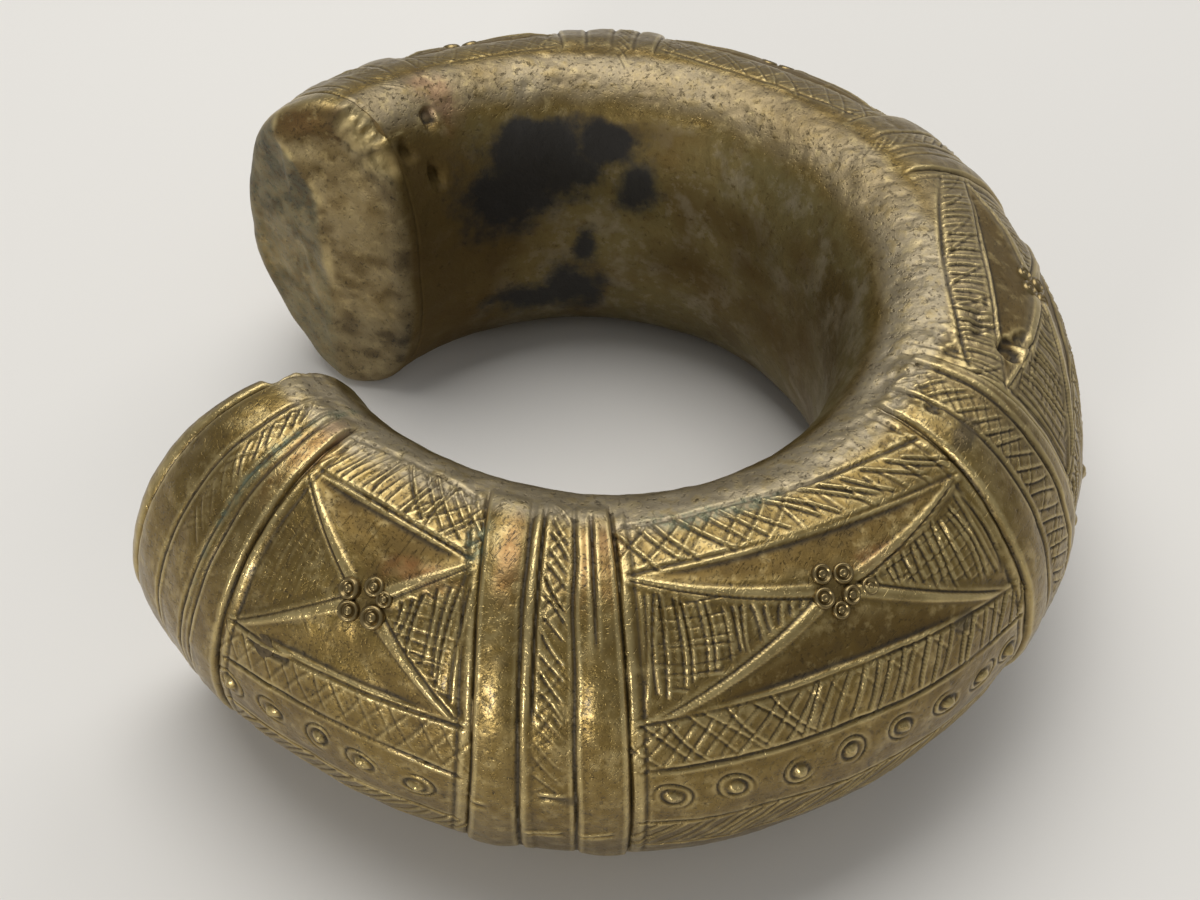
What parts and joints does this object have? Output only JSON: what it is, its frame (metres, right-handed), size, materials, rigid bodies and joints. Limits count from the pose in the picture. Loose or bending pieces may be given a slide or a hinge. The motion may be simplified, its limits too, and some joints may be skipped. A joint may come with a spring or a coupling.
{
  "type": "manilla",
  "caption": "Open C-shaped ring of cast brass, worn on the wrist or ankle and used as currency, with ribs, star panels and dotted bands on its outer face.",
  "frame": {"origin": "centre of the wrist opening, at half the ring's height", "axes": "+Z along the axis of the wrist opening, upwards as the ring lies flat; the gap between the ends faces -X"},
  "size_m": [0.1175, 0.1264, 0.0486],
  "materials": {
    "cast_brass": "aged cast brass, dark in the lines and worn bright on the edges",
    "cap_brass": "dull grey-brown patina with worn yellow streaks",
    "worn_brass": "handled brass",
    "fired_clay": "coarse fired clay",
    "pin_iron": "dark rusted iron"
  },
  "bodies": {
    "root": {"cast_body": "cast_brass", "near_end_cap": "cap_brass", "far_end_cap": "cap_brass", "clay_core": "fired_clay", "core_pins": "pin_iron", "rosette_1": "worn_brass", "rosette_2": "worn_brass", "rosette_3": "worn_brass", "rosette_4": "worn_brass", "rosette_5": "worn_brass"}
  },
  "joints": []
}
